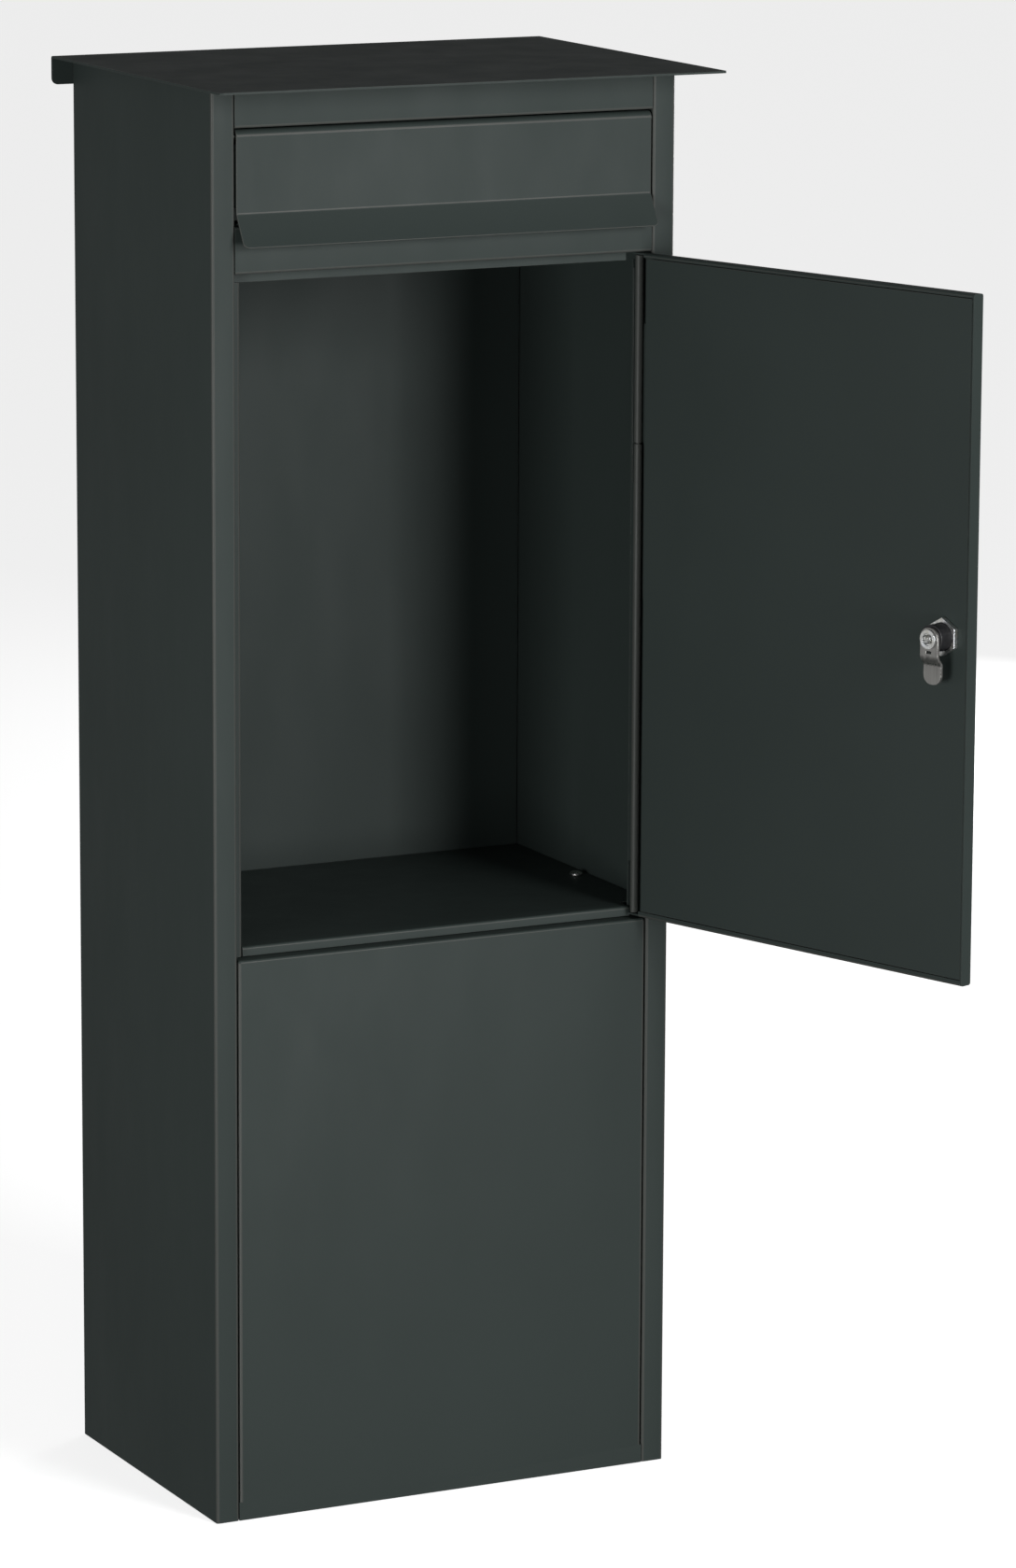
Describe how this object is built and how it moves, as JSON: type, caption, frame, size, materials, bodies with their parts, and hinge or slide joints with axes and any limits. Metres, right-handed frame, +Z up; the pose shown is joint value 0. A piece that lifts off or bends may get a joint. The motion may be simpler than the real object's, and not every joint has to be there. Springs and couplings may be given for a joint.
{
  "type": "parcel drop box",
  "caption": "Free-standing sheet-steel parcel drop box with an overhanging roof, a lift-up drop flap, an anti-theft baffle and a side-hinged locking door.",
  "frame": {"origin": "centre of the base plate's underside, midway between the cabinet's sides and between its front and rear faces", "axes": "+X to the right as seen from the front, +Y from the front to the rear wall, +Z up"},
  "size_m": [0.4457, 0.5268, 1],
  "materials": {
    "powder_coat": "satin fine-texture powder coat, dark green-grey",
    "zinc_plate": "bright zinc plate",
    "stainless_steel": "brushed stainless steel",
    "blackened_zinc": "black passivated die casting",
    "chrome": "polished",
    "black_rubber": "matte"
  },
  "bodies": {
    "cabinet": {"side_shell_left": "powder_coat", "side_shell_right": "powder_coat", "rear_wall": "powder_coat", "roof": "powder_coat", "roof_nut_1": "zinc_plate", "roof_nut_2": "zinc_plate", "roof_nut_3": "zinc_plate", "roof_nut_4": "zinc_plate", "top_rail": "powder_coat", "lower_rail": "powder_coat", "strike_strip": "powder_coat", "hinge_jamb": "powder_coat", "compartment_floor": "powder_coat", "floor_ledge_left": "powder_coat", "floor_ledge_right": "powder_coat", "floor_screw_left": "zinc_plate", "floor_screw_right": "zinc_plate", "lower_front_panel": "powder_coat", "base_plate": "powder_coat", "drop_chute": "powder_coat", "baffle_bracket_left": "zinc_plate", "baffle_bracket_right": "zinc_plate", "baffle_spring": "stainless_steel", "flap_bumper_left": "black_rubber", "flap_bumper_right": "black_rubber", "hinge_pin": "powder_coat", "frame_hinge_leaf": "powder_coat", "frame_hinge_rivet_1": "zinc_plate", "frame_hinge_rivet_2": "zinc_plate", "frame_hinge_rivet_3": "zinc_plate"},
    "door": {"door_skin": "powder_coat", "door_liner": "powder_coat", "door_hinge_leaf": "powder_coat", "lock_barrel": "blackened_zinc", "lock_nut": "zinc_plate"},
    "lock": {"lock_plug": "chrome", "lock_cam": "stainless_steel", "cam_washer": "zinc_plate", "cam_screw": "zinc_plate"},
    "flap": {"drop_flap": "powder_coat", "flap_rod": "powder_coat", "flap_crank": "zinc_plate", "flap_crank_pin": "zinc_plate"},
    "baffle": {"anti_theft_baffle": "powder_coat", "baffle_rod": "zinc_plate", "baffle_crank": "zinc_plate", "baffle_crank_pin": "zinc_plate", "baffle_rod_clip": "stainless_steel"},
    "link": {"link_rod": "zinc_plate"}
  },
  "joints": [
    {"name": "door_hinge", "type": "hinge", "parent": "cabinet", "child": "door", "pos_m": [0.151, -0.1136, 0.637], "axis": [0, 0, 1], "range_deg": [-109, 4]},
    {"name": "cam_turn", "type": "hinge", "parent": "door", "child": "lock", "pos_m": [0.24923, -0.38384, 0.64], "axis": [-0.9455, -0.3256, 0], "range_deg": [0, 90]},
    {"name": "flap_swing", "type": "hinge", "parent": "cabinet", "child": "flap", "pos_m": [0, -0.1138, 0.9651], "axis": [-1, 0, 0], "range_deg": [0, 75], "stiffness_Nm_per_rad": 0.2, "springref_deg": -85.94},
    {"name": "baffle_swing", "type": "hinge", "parent": "cabinet", "child": "baffle", "pos_m": [0, -0.025, 0.975], "axis": [-1, 0, 0], "range_deg": [0, 75]},
    {"name": "link_swivel", "type": "hinge", "parent": "flap", "child": "link", "pos_m": [0.162, -0.11018, 0.97862], "axis": [-1, 0, 0], "range_deg": [-75, 0]}
  ],
  "couplings": [
    {"joint": "baffle_swing", "follows": "flap_swing", "ratio": 1},
    {"joint": "link_swivel", "follows": "flap_swing", "ratio": -1}
  ]
}
